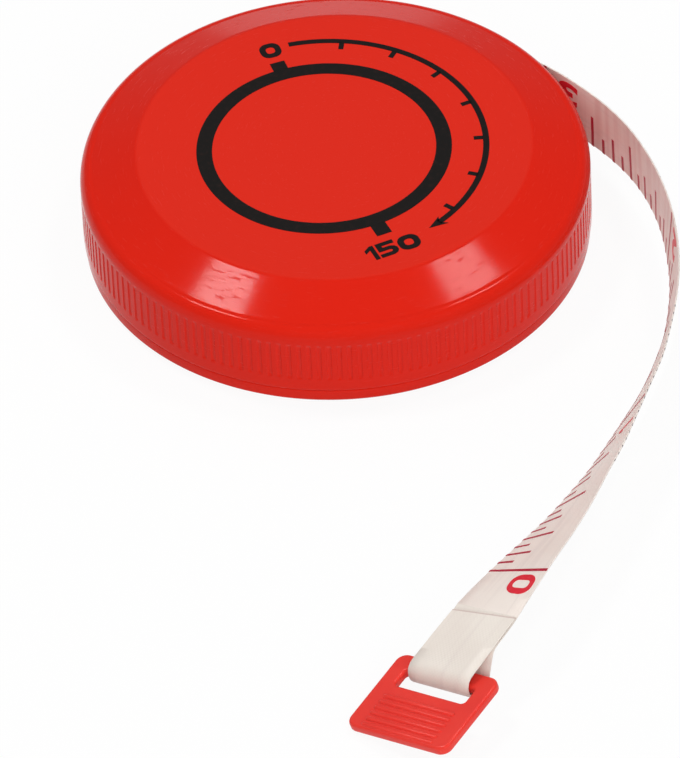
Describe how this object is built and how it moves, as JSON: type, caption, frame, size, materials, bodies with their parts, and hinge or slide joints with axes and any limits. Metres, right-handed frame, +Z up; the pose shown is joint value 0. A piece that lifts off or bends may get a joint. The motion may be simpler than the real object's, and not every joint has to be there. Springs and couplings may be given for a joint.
{
  "type": "retractable tape measure",
  "caption": "Round red plastic case with a printed dial, a sprung drum inside, a release button underneath, and an ivory tape pulled out to a moulded pull tab.",
  "frame": {"origin": "centre of the case's underside, on the table it lies on", "axes": "+Z up through the dial along the drum's axis; -Y towards the viewer of the picture; +X to the side where the tape runs"},
  "size_m": [0.058, 0.1006, 0.0116],
  "materials": {
    "case_red": "glossy moulded",
    "button_red": "glossy moulded",
    "tab_red": "satin moulded",
    "tape_ivory": "coated fibre tape",
    "drum_plastic": "moulded",
    "spring_steel": "bright strip",
    "brake_rubber": "matt"
  },
  "bodies": {
    "case": {"upper_cover": "case_red", "lower_cover": "case_red", "tape_lead": "tape_ivory"},
    "spool": {"drum": "drum_plastic", "drum_cap": "drum_plastic", "tape_roll": "tape_ivory", "power_spring": "spring_steel"},
    "button": {"release_button": "button_red", "brake_ring": "brake_rubber", "button_spring": "spring_steel"},
    "tape_end": {"tape_free": "tape_ivory", "tape_loop": "tape_ivory"},
    "tab": {"pull_tab": "tab_red"}
  },
  "joints": [
    {"name": "spool_spin", "type": "hinge", "parent": "case", "child": "spool", "pos_m": [0, 0, 0.0055], "axis": [0, 0, -1], "range_deg": [-148, 4570], "deforming": ["power_spring"]},
    {"name": "tape_pull", "type": "slide", "parent": "case", "child": "tape_end", "axis": [-0.6074, -0.7944, 0], "range_m": [-0.0451, 1.391], "deforming": ["tape_free"]},
    {"name": "tab_swing", "type": "hinge", "parent": "tape_end", "child": "tab", "pos_m": [0.00811, -0.06539, 0.0028], "axis": [-0.7741, 0.5918, -0.225], "range_deg": [-90, 90]},
    {"name": "button_press", "type": "slide", "parent": "case", "child": "button", "axis": [0, 0, 1], "range_m": [0, 0.001], "stiffness_N_per_m": 800, "springref_m": -0.002, "deforming": ["button_spring"]}
  ],
  "couplings": [
    {"joint": "tape_pull", "follows": "spool_spin", "m_per_rad": 0.01742}
  ]
}
